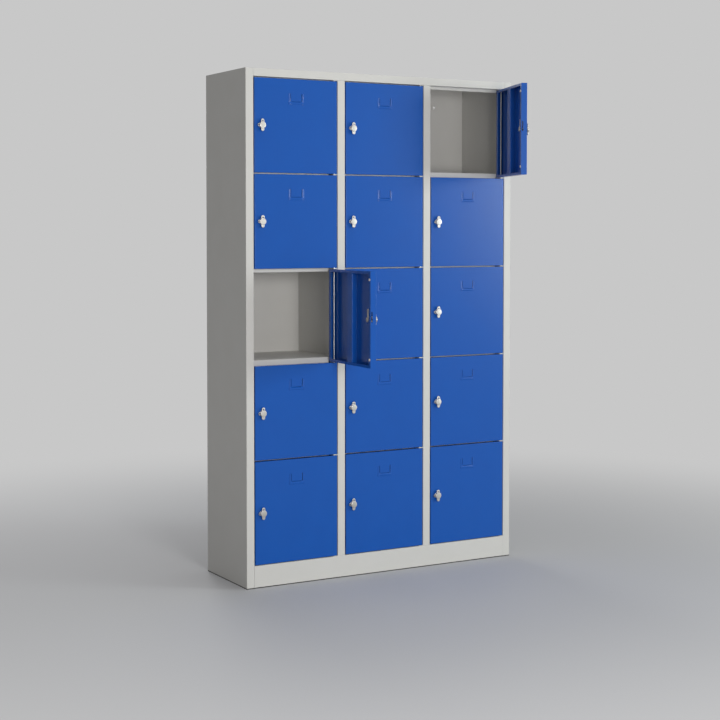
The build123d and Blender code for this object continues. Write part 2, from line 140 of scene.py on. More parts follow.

# %% [markdown]
# ## Powder-coated sheet steel
#
# The body and the doors are thin steel sheet, folded, then powder coated: dry paint is sprayed on
# by static charge and melted in an oven. That leaves a tough, half-gloss skin with a fine orange
# peel. Under it the sheet is never quite flat, so a soft light wanders a little across each panel.
# Three noises do this: one wide and shallow for the sheet, one fine for the orange peel, and one
# of hand's breadth for the small changes of shade and gloss that keep a panel from looking printed.
# The lowest few millimetres of every grey panel are painted near-black as a painted shadow along
# the floor line;
# it depends on height alone, so the doors, which hang above it, can share the same tree.

# %% Powder coat
sheet_wave = 230 * mm
sheet_wave_height = 0.35 * mm
orange_peel = 2.2 * mm  # real peel is about 1 mm, too fine to show
orange_peel_height = 0.012 * mm
shade_patch = 90 * mm
coat_gloss_spread = 0.02
# Height and colour of the painted shadow along the floor line
painted_floor_shadow_height = 3.5 * mm
painted_floor_shadow_colour = "#181612"


def powder_coat(name, colour, shaded_colour, roughness, ior):
    """Half-gloss paint: a slow wave in the sheet, orange peel, patches of shade and gloss, and a
    painted shadow at the floor.
    """
    material, tree, output, place = new_material(name)
    patch = add_node(
        tree,
        "ShaderNodeTexNoise",
        {"Scale": per_metre(shade_patch), "Detail": 4.0},
        {"Vector": place},
    )
    shade = add_node(
        tree,
        "ShaderNodeMix",
        {"data_type": "RGBA", 6: linear(colour), 7: linear(shaded_colour)},
        {0: patch.outputs[0]},
    )
    # Painted shadow: below this height the paint turns near-black, standing in for the shade where
    # the panels meet the floor
    level = add_node(tree, "ShaderNodeSeparateXYZ", {}, {0: place}).outputs["Z"]
    above_painted_floor_shadow = add_node(
        tree, "ShaderNodeMath", {"operation": "GREATER_THAN", 1: painted_floor_shadow_height}, {0: level}
    )
    coat = add_node(
        tree,
        "ShaderNodeMix",
        {"data_type": "RGBA", 6: linear(painted_floor_shadow_colour)},
        {0: above_painted_floor_shadow.outputs[0], 7: shade.outputs[2]},
    )
    gloss = add_node(
        tree,
        "ShaderNodeMapRange",
        {"To Min": roughness - coat_gloss_spread, "To Max": roughness + coat_gloss_spread},
        {"Value": patch.outputs[0]},
    )
    wave = add_node(
        tree,
        "ShaderNodeTexNoise",
        {"Scale": per_metre(sheet_wave), "Detail": 1.0},
        {"Vector": place},
    )
    wave_bump = add_node(
        tree, "ShaderNodeBump", {"Distance": sheet_wave_height}, {"Height": wave.outputs[0]}
    )
    peel = add_node(
        tree,
        "ShaderNodeTexNoise",
        {"Scale": per_metre(orange_peel), "Detail": 2.0},
        {"Vector": place},
    )
    peel_bump = add_node(
        tree,
        "ShaderNodeBump",
        {"Distance": orange_peel_height},
        {"Height": peel.outputs[0], "Normal": wave_bump.outputs[0]},
    )
    paint = add_node(
        tree,
        "ShaderNodeBsdfPrincipled",
        {"IOR": ior},
        {
            "Base Color": coat.outputs[2],
            "Roughness": gloss.outputs[0],
            "Normal": peel_bump.outputs[0],
        },
    )
    tree.links.new(paint.outputs[0], output.inputs[0])
    return material


body_paint = powder_coat("powder-coated steel, light grey", "#CBCAC7", "#C6C5C1", 0.42, 1.5)
door_paint = powder_coat("powder-coated steel, gentian blue", "#1054AC", "#0E4FA5", 0.24, 1.38)
print("paints", body_paint.name, "and", door_paint.name)

# %% [markdown]
# ## Plated metals and the soft buffers
#
# The latch is cast zinc with a satin nickel plating: warm, bright and slightly soft at its edges.
# Rods, washers, rivets and nuts are steel with a thin zinc plating, cooler and with a faint
# crystal pattern. Both are plain metals to a shader, metallic 1 with a base colour that is the
# metal's own reflection. The buffers are moulded from soft cream plastic with a dull skin.

# %% Metals and plastic
zinc_crystal = 5 * mm
casting_grain = 1.4 * mm
casting_grain_height = 0.015 * mm
plating_gloss_spread = 0.05
plastic_ior = 1.5


def plated_metal(name, colour, shaded_colour, roughness, grain, pattern):
    """Bright metal whose pattern, crystals or a cloudy grain, varies its shade and gloss."""
    material, tree, output, place = new_material(name)
    if pattern == "crystals":
        cells = add_node(
            tree, "ShaderNodeTexVoronoi", {"Scale": per_metre(grain)}, {"Vector": place}
        )
        pattern_value = add_node(
            tree, "ShaderNodeSeparateColor", {}, {"Color": cells.outputs["Color"]}
        ).outputs[0]
    else:
        pattern_value = add_node(
            tree,
            "ShaderNodeTexNoise",
            {"Scale": per_metre(grain), "Detail": 3.0},
            {"Vector": place},
        ).outputs[0]
    shade = add_node(
        tree,
        "ShaderNodeMix",
        {"data_type": "RGBA", 6: linear(colour), 7: linear(shaded_colour)},
        {0: pattern_value},
    )
    gloss = add_node(
        tree,
        "ShaderNodeMapRange",
        {"To Min": roughness - plating_gloss_spread, "To Max": roughness + plating_gloss_spread},
        {"Value": pattern_value},
    )
    grain_bump = add_node(
        tree, "ShaderNodeBump", {"Distance": casting_grain_height}, {"Height": pattern_value}
    )
    metal = add_node(
        tree,
        "ShaderNodeBsdfPrincipled",
        {"Metallic": 1.0},
        {
            "Base Color": shade.outputs[2],
            "Roughness": gloss.outputs[0],
            "Normal": grain_bump.outputs[0],
        },
    )
    tree.links.new(metal.outputs[0], output.inputs[0])
    return material


def moulded_plastic(name, colour, shaded_colour, roughness):
    """Dull plastic with the fine texture of its mould."""
    material, tree, output, place = new_material(name)
    cloud = add_node(
        tree,
        "ShaderNodeTexNoise",
        {"Scale": per_metre(casting_grain), "Detail": 2.0},
        {"Vector": place},
    )
    shade = add_node(
        tree,
        "ShaderNodeMix",
        {"data_type": "RGBA", 6: linear(colour), 7: linear(shaded_colour)},
        {0: cloud.outputs[0]},
    )
    texture = add_node(
        tree, "ShaderNodeBump", {"Distance": casting_grain_height}, {"Height": cloud.outputs[0]}
    )
    plastic = add_node(
        tree,
        "ShaderNodeBsdfPrincipled",
        {"IOR": plastic_ior, "Roughness": roughness},
        {"Base Color": shade.outputs[2], "Normal": texture.outputs[0]},
    )
    tree.links.new(plastic.outputs[0], output.inputs[0])
    return material


nickel = plated_metal(
    "nickel-plated zinc casting, satin", "#CCCAC7", "#BDB9B2", 0.38, casting_grain, "grain"
)
zinc = plated_metal("zinc-plated steel", "#C9CCCE", "#B4B8BC", 0.36, zinc_crystal, "crystals")
buffer_plastic = moulded_plastic("soft cream plastic, moulded", "#D9D4C4", "#CFC9B7", 0.55)
print("latch and fasteners:", nickel.name, "/", zinc.name, "/", buffer_plastic.name)

# %% [markdown]
# ## Painting the CAD parts
#
# The folded panels, the doors and the hinges have their true shapes already, so they keep their
# meshes and only get a finish. Anything whose name starts with door is blue, the hinge rods and
# washers are zinc plated, and the rest of the cabinet is grey.

# %% Finish for each CAD node
zinc_nodes = ("hinge_rods", "hinge_washers")


def give_finish(mesh, *materials):
    """These materials, in this order, in place of any that the mesh had."""
    mesh.materials.clear()
    for material in materials:
        mesh.materials.append(material)


for name, node in frame["nodes"].items():
    if name in zinc_nodes:
        give_finish(node.data, zinc)
    elif name.startswith("door_"):
        give_finish(node.data, door_paint)
    else:
        give_finish(node.data, body_paint)
print("CAD nodes", len(frame["nodes"]))

# %% [markdown]
# ## Skins from rings of points
#
# Knobs, nuts and buttons are all stacks of outlines: a circle, a hexagon or a rounded ear,
# repeated at several depths and drawn in a little where an edge is rounded. One function skins
# such a stack. Depth runs along Y, the way a latch points out of its door, and -Y is the front.

# %% Rings and skins
round_steps = 48


def circle(radius, depth, steps=round_steps):
    """A ring about the Y axis; no radius gives the single point of a pole."""
    if radius == 0:
        return [(0.0, depth, 0.0)]
    angles = [2 * math.pi * step / steps for step in range(steps)]
    return [(radius * math.cos(a), depth, radius * math.sin(a)) for a in angles]


def skin(rings, closed=False):
    """A closed mesh over rings of points; a closed stack joins its last ring to its first."""
    bm = bmesh.new()
    rows = [[bm.verts.new(point) for point in ring] for ring in rings]
    following = rows[1:] + rows[:1] if closed else rows[1:]
    for near, far in zip(rows, following):
        count = max(len(near), len(far))
        for i in range(count):
            j = (i + 1) % count
            corners = [near[i % len(near)], near[j % len(near)]]
            corners += [far[j % len(far)], far[i % len(far)]]
            bm.faces.new(list(dict.fromkeys(corners)))
    if not closed:
        for row in (rows[0], rows[-1]):
            if len(row) > 1:
                bm.faces.new(row)
    bmesh.ops.recalc_face_normals(bm, faces=bm.faces)
    return bm


def lathe(profile, steps=round_steps):
    """A turned shape from (radius, depth) points."""
    return skin([circle(radius, depth, steps) for radius, depth in profile])


def rounded_edge(radius, depth, edge, side, steps=4):
    """(radius, depth) points of a quarter-round edge, from the rim to the face at depth.

    The face looks to +Y where side is 1, and to -Y where it is -1.
    """
    points = []
    for step in range(steps + 1):
        angle = math.pi / 2 * step / steps
        inset = edge * (1 - math.cos(angle))
        points.append((radius - inset, depth - side * edge * (1 - math.sin(angle))))
    return points


def rod(radius, front, back):
    """A plain round rod along Y, from one depth to another."""
    return lathe([(0, front), (radius, front), (radius, back), (0, back)])


print("a turned piece has", round_steps, "steps round it")

# %% Meshes, unions and smooth shading
def as_mesh(bm, name):
    """The skin as a mesh, with the working copy freed."""
    mesh = bpy.data.meshes.new(name)
    bm.to_mesh(mesh)
    bm.free()
    return mesh


def plain_mesh(made):
    """The object's mesh with its modifiers applied; the object itself is removed."""
    graph = bpy.context.evaluated_depsgraph_get()
    mesh = bpy.data.meshes.new_from_object(made.evaluated_get(graph))
    mesh.name = made.name
    bpy.data.objects.remove(made)
    return mesh


def joined(name, base, added=(), cut=()):
    """One mesh of a base skin with others fused on, and then others cut away."""
    body = in_scene(name, as_mesh(base, name))
    tools = []
    for operation, skins in (("UNION", added), ("DIFFERENCE", cut)):
        for part in skins:
            tool = in_scene("tool", as_mesh(part, "tool"))
            tools.append(tool)
            step = body.modifiers.new(operation, "BOOLEAN")
            step.operation = operation
            step.solver = "EXACT"
            step.object = tool
    mesh = plain_mesh(body)
    for tool in tools:
        bpy.data.objects.remove(tool)
    return mesh


sharp_degrees = 32


def smoothed(mesh):
    """Smooth shading that keeps real edges sharp and flat faces flat."""
    mesh.polygons.foreach_set("use_smooth", [True] * len(mesh.polygons))
    mesh.set_sharp_from_angle(angle=math.radians(sharp_degrees))
    holder = in_scene(mesh.name, mesh)
    weights = holder.modifiers.new("weights", "WEIGHTED_NORMAL")
    weights.keep_sharp = True
    return plain_mesh(holder)


def merged(name, meshes, materials):
    """Several finished meshes as one, each with its own material from the list."""
    bm = bmesh.new()
    for index, mesh in enumerate(meshes):
        start = len(bm.faces)
        bm.from_mesh(mesh)
        bm.faces.ensure_lookup_table()
        for face in bm.faces[start:]:
            face.material_index = index
    mesh = as_mesh(bm, name)
    give_finish(mesh, *materials)
    return mesh


print("edges that turn by more than", sharp_degrees, "degrees stay sharp")

# %% [markdown]
# ## Where each door and latch is
#
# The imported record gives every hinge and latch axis, in metres. A door that stands open at rest
# can still close, so the lower end of its hinge range says how far it is open now. A piece drawn
# for a closed door at the axis is turned by that angle and moved to the axis.

# %% Places of the doors
def joints_of(kind):
    """The joints whose names start with a kind, by the tag that is left of the name."""
    found = [joint for joint in frame["joints"] if joint["name"].startswith(kind)]
    return {joint["name"][len(kind) :]: joint for joint in found}


hinges = joints_of("hinge_")
latch_turns = joints_of("turn_")


def rest_place(tag, joint):
    """Moves a piece from a closed door's own axes to where the door is at rest."""
    open_angle = -math.radians(hinges[tag]["range_deg"][0])
    return Matrix.Translation(joint["pos_m"]) @ Matrix.Rotation(open_angle, 4, "Z")


def ride_on(name, mesh, place, body, replaced=()):
    """A finished piece: its place goes into its mesh, and its object stays at the origin."""
    mesh = mesh.copy()
    mesh.transform(place)
    piece = in_scene(name, mesh)
    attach(piece, body)
    if replaced:
        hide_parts(*replaced)
    return piece


print("doors", sorted(hinges))

# %% [markdown]
# ## The latch's fixed base
#
# Each door has a padlock latch. Its fixed half is one casting: a round rosette against the door,
# a boss standing out of it, and an ear with an eye for the shackle. A threaded barrel goes through
# the skin, and a slotted ring nut clamps it from inside. Turned parts are lathed from a profile,
# and the ear is a rounded tongue fused on; the eye and the bore are cut last.

# %% Sizes of the fixed base
skin_front = -7 * mm
skin_sheet = 0.8 * mm
rosette_radius = 11.5 * mm
rosette_thickness = 3 * mm
rosette_edge = 1.2 * mm
boss_radius = 9 * mm
boss_height = 5 * mm
boss_foot = 1.4 * mm
small_edge = 0.5 * mm
spindle_radius = 4 * mm
bore_radius = 4.08 * mm
barrel_radius = 8 * mm
base_ear_width = 12 * mm
base_ear_reach = 18.6 * mm
base_ear_thickness = 3 * mm
eye_offset = 15 * mm
eye_radius = 2.4 * mm
ring_nut_radius = 12 * mm
ring_nut_thickness = 3 * mm
ring_nut_slots = 6
ring_nut_slot_depth = 1.3 * mm
ring_nut_slot_cosine = 0.75  # a slot is where the cosine of six times the angle is above this
ring_nut_steps = 96
eye_steps = 32
overrun = 1 * mm

rosette_front = skin_front - rosette_thickness
boss_front = rosette_front - boss_height
barrel_back = skin_front + skin_sheet + ring_nut_thickness
print("the boss stands", round((skin_front - boss_front) / mm, 1), "mm out of the skin")

# %% Ears with rounded edges and eyes
def tongue(half_width, reach, inset, depth, steps=16):
    """A ring round a straight ear that points to +Z from the axis, rounded at its tip."""
    half = half_width - inset
    tip = reach - half_width
    arc = [math.pi * step / steps for step in range(steps + 1)]
    outline = [(half * math.cos(a), tip + half * math.sin(a)) for a in arc]
    outline += [(-half, 0.0), (half, 0.0)]
    return [(x, depth, z) for x, z in outline]


def edged_stack(outline, front, back, edge, steps=3):
    """A flat casting with rounded edges: rings of an outline that takes an inset and a depth."""
    rings = []
    for step in range(steps + 1):
        angle = math.pi / 2 * step / steps
        rings.append(outline(edge * (1 - math.sin(angle)), front + edge * (1 - math.cos(angle))))
    for step in range(steps + 1):
        angle = math.pi / 2 * (1 - step / steps)
        rings.append(outline(edge * (1 - math.sin(angle)), back - edge * (1 - math.cos(angle))))
    return skin(rings)


def eye_cutter(front, back):
    """A hole for the shackle, opened out a little at both faces."""
    flare = eye_radius + small_edge + overrun
    profile = [
        (0, front - overrun),
        (flare, front - overrun),
        (eye_radius, front + small_edge),
        (eye_radius, back - small_edge),
        (flare, back + overrun),
        (0, back + overrun),
    ]
    cutter = lathe(profile, eye_steps)
    cutter.transform(Matrix.Translation((0, 0, eye_offset)))
    return cutter


def turned_round(bm, degrees):
    """Turns a skin about the latch's axis."""
    bm.transform(Matrix.Rotation(math.radians(degrees), 4, "Y"))
    return bm


# %% Base casting and ring nut
def base_casting():
    """Rosette, boss and barrel in one turned profile, with the ear fused on at the left."""
    profile = [(0, boss_front)]
    profile += rounded_edge(boss_radius, boss_front, small_edge, -1)[::-1]
    profile += [(boss_radius, rosette_front - boss_foot), (boss_radius + boss_foot, rosette_front)]
    profile += rounded_edge(rosette_radius, rosette_front, rosette_edge, -1)[::-1]
    profile += [
        (rosette_radius, skin_front),
        (barrel_radius, skin_front),
        (barrel_radius, barrel_back - small_edge),
        (barrel_radius - small_edge, barrel_back),
        (0, barrel_back),
    ]
    ear_back = boss_front + base_ear_thickness

    def ear_outline(inset, depth):
        return tongue(base_ear_width / 2, base_ear_reach, inset, depth)

    ear = turned_round(edged_stack(ear_outline, boss_front, ear_back, small_edge), -90)
    eye = turned_round(eye_cutter(boss_front, ear_back), -90)
    bore = rod(bore_radius, boss_front - overrun, barrel_back + overrun)
    return joined("latch base", lathe(profile), added=[ear], cut=[eye, bore])


def ring_nut():
    """A flat ring nut with slots in its rim for a pin spanner."""
    near = skin_front + skin_sheet
    far = near + ring_nut_thickness

    def rim(inset, depth):
        points = []
        for step in range(ring_nut_steps):
            angle = 2 * math.pi * step / ring_nut_steps
            in_slot = math.cos(ring_nut_slots * angle) > ring_nut_slot_cosine
            radius = ring_nut_radius - inset - (ring_nut_slot_depth if in_slot else 0)
            points.append((radius * math.cos(angle), depth, radius * math.sin(angle)))
        return points

    rings = [
        rim(small_edge, near),
        rim(0, near + small_edge),
        rim(0, far - small_edge),
        rim(small_edge, far),
        circle(barrel_radius, far, ring_nut_steps),
        circle(barrel_radius, near, ring_nut_steps),
    ]
    return as_mesh(skin(rings, closed=True), "ring nut")


fitting_parts = [smoothed(base_casting()), smoothed(ring_nut())]
fitting_mesh = smoothed(merged("latch base and ring nut", fitting_parts, [nickel, zinc]))
for tag, joint in latch_turns.items():
    ride_on(
        "latch_base_" + tag,
        fitting_mesh,
        rest_place(tag, joint),
        "door_" + tag,
        ["fittings_" + tag],
    )
print("latch base faces", len(fitting_mesh.polygons))

# %% [markdown]
# ## The turning knob with its cam
#
# The knob is a disc between two ears that flow into it in one smooth waist. Its outline is three
# circles joined tangentially, so drawing every radius in by the same amount gives the parallel
# outline that a rounded edge needs. A thicker disc, crowned a hair so that it never mirrors like a
# flat coin, is fused on. The upper ear gets the eye that meets the fixed one, and a spindle runs
# back through the door to the cam and its nut.

# %% Sizes of the knob, cam and nut
knob_radius = 12.5 * mm
knob_thickness = 6 * mm
knob_crown = 0.3 * mm
knob_crown_rings = (0.35, 0.65, 0.88)  # shares of the disc's flat radius
knob_edge = 1.2 * mm
knob_gap = 0.4 * mm
knob_ear_reach = 23.5 * mm
knob_ear_thickness = 4 * mm
knob_ear_edge = 1.7 * mm
knob_ear_tip = 6.8 * mm
waist_radius = 10 * mm
cam_front = 10 * mm
cam_thickness = 2.5 * mm
cam_reach = 40 * mm
cam_width = 14 * mm
nut_flats = 17 * mm
nut_thickness = 4 * mm
nut_chamfer = 0.6 * mm
nut_steps = 72

knob_back = boss_front - knob_gap
knob_front = knob_back - knob_thickness
cam_back = cam_front + cam_thickness
spindle_end = cam_back + nut_thickness
print("the knob stands", round((skin_front - knob_front) / mm, 1), "mm out of the skin")

# %% Knob with its spindle
def waisted(inset, depth, steps=10):
    """A ring round a disc with two ears, each pair of circles joined by a tangent hollow."""
    disc = knob_radius - inset
    tip = knob_ear_tip - inset
    hollow = waist_radius + inset
    tip_height = knob_ear_reach - knob_ear_tip
    hollow_z = ((disc + hollow) ** 2 - (tip + hollow) ** 2 + tip_height**2) / (2 * tip_height)
    hollow_x = math.sqrt((disc + hollow) ** 2 - hollow_z**2)
    disc_end = math.atan2(hollow_z, hollow_x)
    tip_start = math.atan2(hollow_z - tip_height, hollow_x)
    shares = [step / steps for step in range(steps + 1)]
    quarter = [(disc * math.cos(disc_end * s), disc * math.sin(disc_end * s)) for s in shares]
    for s in shares[1:]:
        angle = disc_end + (tip_start - disc_end) * s + math.pi
        quarter.append((hollow_x + hollow * math.cos(angle), hollow_z + hollow * math.sin(angle)))
    for s in shares[1:]:
        angle = tip_start + (math.pi / 2 - tip_start) * s
        quarter.append((tip * math.cos(angle), tip_height + tip * math.sin(angle)))
    half = quarter + [(-x, z) for x, z in quarter[-2::-1]]
    whole = half + [(x, -z) for x, z in half[-2:0:-1]]
    return [(x, depth, z) for x, z in whole]


def knob_casting():
    """Ears and disc with the spindle behind them, fused, and the upper ear's eye cut out."""
    ear_front = knob_back - knob_ear_thickness
    plate = edged_stack(waisted, ear_front, knob_back, knob_ear_edge)
    face = [(0, knob_front)]
    for share in knob_crown_rings:
        face.append(((knob_radius - knob_edge) * share, knob_front + knob_crown * share**2))
    face += rounded_edge(knob_radius, knob_front + knob_crown, knob_edge, -1)[::-1]
    disc = lathe(face + [(knob_radius, knob_back), (0, knob_back)])
    spindle = lathe(
        [
            (0, knob_back - small_edge),
            (spindle_radius, knob_back - small_edge),
            (spindle_radius, spindle_end - small_edge),
            (spindle_radius - small_edge, spindle_end),
            (0, spindle_end),
        ]
    )
    eye = eye_cutter(ear_front, knob_back)
    return joined("knob", plate, added=[disc, spindle], cut=[eye])


# %% Cam and nut
def cam_plate():
    """A flat finger, rounded at both ends, with the spindle's hole in its hub."""

    def finger(inset, depth, steps=14):
        half = cam_width / 2 - inset
        tip = cam_reach - cam_width / 2
        arc = [math.pi * step / steps for step in range(steps + 1)]
        upper = [(half * math.cos(a), tip + half * math.sin(a)) for a in arc]
        lower = [(-half * math.cos(a), -half * math.sin(a)) for a in arc]
        return [(x, depth, z) for x, z in upper + lower]

    hole = rod(spindle_radius, cam_front - overrun, cam_back + overrun)
    return joined("cam", edged_stack(finger, cam_front, cam_back, small_edge), cut=[hole])


def hexagon_nut():
    """A hexagon with its corners turned off at the outer face, round a plain bore."""

    def hexagon(limit, depth):
        points = []
        for step in range(nut_steps):
            angle = 2 * math.pi * step / nut_steps
            from_flat = (angle + math.pi / 6) % (math.pi / 3) - math.pi / 6
            radius = min(nut_flats / 2 / math.cos(from_flat), limit)
            points.append((radius * math.cos(angle), depth, radius * math.sin(angle)))
        return points

    rings = [
        hexagon(nut_flats, cam_back),
        hexagon(nut_flats, spindle_end - nut_chamfer),
        hexagon(nut_flats / 2, spindle_end),
        circle(spindle_radius, spindle_end, nut_steps),
        circle(spindle_radius, cam_back, nut_steps),
    ]
    return as_mesh(skin(rings, closed=True), "cam nut")


latch_parts = [smoothed(knob_casting()), smoothed(cam_plate()), smoothed(hexagon_nut())]
latch_mesh = smoothed(merged("knob, cam and nut", latch_parts, [nickel, zinc, zinc]))
for tag, joint in latch_turns.items():
    ride_on(
        "latch_knob_" + tag,
        latch_mesh,
        rest_place(tag, joint),
        "latch_" + tag,
        ["latch_" + tag],
    )
print("latch faces", len(latch_mesh.polygons))

# %% [markdown]
# ## A tree for what repeats in rows
#
# Buffers, rivets and spot welds all repeat along straight lines. One Geometry Nodes tree serves
# them: it lays points from a start by equal steps, puts a copy of a template on each, turned about
# the upright axis, and ends in real geometry with its material. Its sizes are inputs, so each row
# is one modifier with its own values, and the result is taken out as a plain mesh.

# %% Tree for rows of small pieces
def row_tree():
    """The tree, with the template, the line, the turn and the finish as its inputs."""
    tree = bpy.data.node_groups.new("row of pieces", "GeometryNodeTree")
    sockets = (
        ("Template", "NodeSocketObject"),
        ("Start", "NodeSocketVector"),
        ("Step", "NodeSocketVector"),
        ("Count", "NodeSocketInt"),
        ("Turn", "NodeSocketFloat"),
        ("Finish", "NodeSocketMaterial"),
    )
    for name, kind in sockets:
        tree.interface.new_socket(name=name, in_out="INPUT", socket_type=kind)
    tree.interface.new_socket(name="Row", in_out="OUTPUT", socket_type="NodeSocketGeometry")
    given = add_node(tree, "NodeGroupInput").outputs
    line = add_node(
        tree,
        "GeometryNodeMeshLine",
        {"mode": "OFFSET"},
        {"Count": given["Count"], "Start Location": given["Start"], "Offset": given["Step"]},
    )
    template = add_node(tree, "GeometryNodeObjectInfo", {}, {"Object": given["Template"]})
    turn = add_node(tree, "ShaderNodeCombineXYZ", {}, {"Z": given["Turn"]})
    rotation = add_node(tree, "FunctionNodeEulerToRotation", {}, {0: turn.outputs[0]})
    copies = add_node(
        tree,
        "GeometryNodeInstanceOnPoints",
        {},
        {
            "Points": line.outputs[0],
            "Instance": template.outputs["Geometry"],
            "Rotation": rotation.outputs[0],
        },
    )
    real = add_node(tree, "GeometryNodeRealizeInstances", {}, {"Geometry": copies.outputs[0]})
    painted = add_node(
        tree,
        "GeometryNodeSetMaterial",
        {},
        {"Geometry": real.outputs[0], "Material": given["Finish"]},
    )
    add_node(tree, "NodeGroupOutput", {}, {"Row": painted.outputs[0]})
    return tree


rows = row_tree()
print("the tree of rows has", len(rows.nodes), "nodes")

# %% Rows as plain meshes
def row_of(template, start, step, count, turn, finish):
    """The plain mesh of one row; start and step are vectors in metres, turn is in radians."""
    holder = in_scene("row", bpy.data.meshes.new("row"))
    modifier = holder.modifiers.new("row", "NODES")
    modifier.node_group = rows
    values = {
        "Template": template,
        "Start": tuple(start),
        "Step": tuple(step),
        "Count": count,
        "Turn": float(turn),
        "Finish": finish,
    }
    for item in rows.interface.items_tree:
        if item.in_out == "INPUT":
            modifier[item.identifier] = values[item.name]
    return plain_mesh(holder)


def together(name, meshes, material):
    """Rows that share one body and one finish, as one mesh."""
    bm = bmesh.new()
    for mesh in meshes:
        bm.from_mesh(mesh)
    return merged(name, [as_mesh(bm, "rows")], [material])


# %% [markdown]
# ## Buffers and spot welds on the doors
#
# Two soft buttons on the lock side quiet each door. The hat-shaped stiffener is spot welded to
# the skin along both feet: two electrodes press the sheets together and leave a shallow round
# print with a low rim. The prints are so thin that they only catch the light, which is what they do
# on the real door.

# %% Buffer and weld print templates
buffer_radius = 4.5 * mm
buffer_length = 2.6 * mm
buffer_edge = 0.9 * mm
buffer_dimple = 0.4 * mm
buffer_dimple_mouth = 0.45 * buffer_radius
buffer_dimple_floor = 0.3 * buffer_radius
buffer_steps = 32
weld_radius = 2.8 * mm
weld_rim = 0.14 * mm
weld_rim_outside = 0.86 * weld_radius
weld_rim_inside = 0.68 * weld_radius
weld_floor_radius = 0.55 * weld_radius
weld_floor = weld_rim / 3
weld_sink = 0.05 * mm
weld_steps = 20


def template_object(profile, steps, name):
    """A turned piece for the tree of rows to copy."""
    return in_scene(name, as_mesh(lathe(profile, steps), name))


def buffer_button():
    """A soft button with a rounded edge and a moulded dimple; its seat is at depth zero."""
    profile = [(0, 0), (buffer_radius, 0)]
    profile += rounded_edge(buffer_radius, buffer_length, buffer_edge, 1)
    profile += [
        (buffer_dimple_mouth, buffer_length),
        (buffer_dimple_floor, buffer_length - buffer_dimple),
        (0, buffer_length - buffer_dimple),
    ]
    return template_object(profile, buffer_steps, "buffer template")


def weld_print():
    """A round electrode print: a low rim round a flat floor, facing +Y."""
    profile = [
        (0, -weld_sink),
        (weld_radius, -weld_sink),
        (weld_radius, 0),
        (weld_rim_outside, weld_rim),
        (weld_rim_inside, weld_rim),
        (weld_floor_radius, weld_floor),
        (0, weld_floor),
    ]
    return template_object(profile, weld_steps, "weld template")


buffer_template = buffer_button()
weld_template = weld_print()
print("a weld print has", len(weld_template.data.polygons), "faces")

# %% Buffers and weld prints on each door
door_depth = 24 * mm
lock_lip = 14 * mm
buffer_end_inset = 31 * mm
stiffener_half_face = 20 * mm
stiffener_foot = 20 * mm
weld_end_inset = 26 * mm
weld_pitch = 75 * mm


def door_ends(tag):
    """The heights of a door's lower and upper edges."""
    low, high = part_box("door_" + tag)
    return low.z, high.z


door_back = skin_front + door_depth
weld_face = skin_front + 2 * skin_sheet
# A closed door tells how far its lock edge is from the latch; the stiffener stands at its middle.
closed_low, closed_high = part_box("door_c1_r1")
lock_edge_x = closed_low.x - latch_turns["c1_r1"]["pos_m"][0]
door_width = closed_high.x - closed_low.x
print("lock edge", round(lock_edge_x / mm, 2), "mm from the latch")
middle_x = lock_edge_x + door_width / 2

for tag, joint in latch_turns.items():
    place = rest_place(tag, joint)
    turn = place.to_euler().z
    low, high = door_ends(tag)
    latch_z = joint["pos_m"][2]
    seat = Vector((lock_edge_x + lock_lip / 2, door_back, low + buffer_end_inset - latch_z))
    rise = Vector((0, 0, high - low - 2 * buffer_end_inset))
    buffers = row_of(buffer_template, place @ seat, rise, 2, turn, buffer_plastic)
    ride_on("buffers_" + tag, smoothed(buffers), Matrix(), "door_" + tag)
    prints = []
    weld_span = high - low - 2 * weld_end_inset
    count = int(weld_span / weld_pitch) + 1
    pitch = Vector((0, 0, weld_span / (count - 1)))
    for side in (-1, 1):
        foot_x = middle_x + side * (stiffener_half_face + stiffener_foot / 2)
        first = Vector((foot_x, weld_face, low + weld_end_inset - latch_z))
        prints.append(row_of(weld_template, place @ first, pitch, count, turn, door_paint))
    welds = together("weld prints", prints, door_paint)
    ride_on("stiffener_welds_" + tag, smoothed(welds), Matrix(), "door_" + tag)
print("buffers and welds on", len(latch_turns), "doors")

# %% [markdown]
# ## Rivets, load plates and welds on the cabinet
#
# The back panel is riveted to the flanges of both dividers and spot welded to the side panels.
# A set rivet has a low domed head on both sides. The two wall fixings pass through square load
# plates that spread the pull over the thin sheet.

# %% Sizes at the back
rivet_head_radius = 4 * mm
rivet_head_height = 0.7 * mm
rivet_head_steps = 24
rivet_dome_rings = 4
rivet_end_inset = 205 * mm
rivet_count = 8
divider_flange = 14 * mm
body_sheet = 0.8 * mm
stile_width = 32 * mm
plate_size = 26 * mm
plate_sheet = 2 * mm
plate_corner = 2.5 * mm
plate_steps = 64
wall_hole_radius = 4.5 * mm
wall_hole_side_inset = 145 * mm
wall_hole_drop = 82 * mm
flange_weld_inset = 10 * mm
flange_weld_end = 75 * mm
flange_weld_count = 16

body_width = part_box("right_side_panel")[1].x * 2
body_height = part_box("top_panel")[1].z
back_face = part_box("back_panel")[1].y
back_flange_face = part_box("right_side_panel")[1].y
inner_face = back_face - body_sheet
flange_face = inner_face - body_sheet
print("the back panel's faces are at", round(inner_face, 4), "and", round(back_face, 4), "m")

# %% Rivet heads and load plates
def domed_head():
    """A low domed rivet head that faces +Y from depth zero, sunk a hair into its sheet."""
    profile = [(0, -weld_sink), (rivet_head_radius, -weld_sink)]
    for ring in range(rivet_dome_rings):
        angle = ring / rivet_dome_rings * math.pi / 2
        profile.append((rivet_head_radius * math.cos(angle), rivet_head_height * math.sin(angle)))
    profile.append((0, rivet_head_height))
    return template_object(profile, rivet_head_steps, "rivet template")


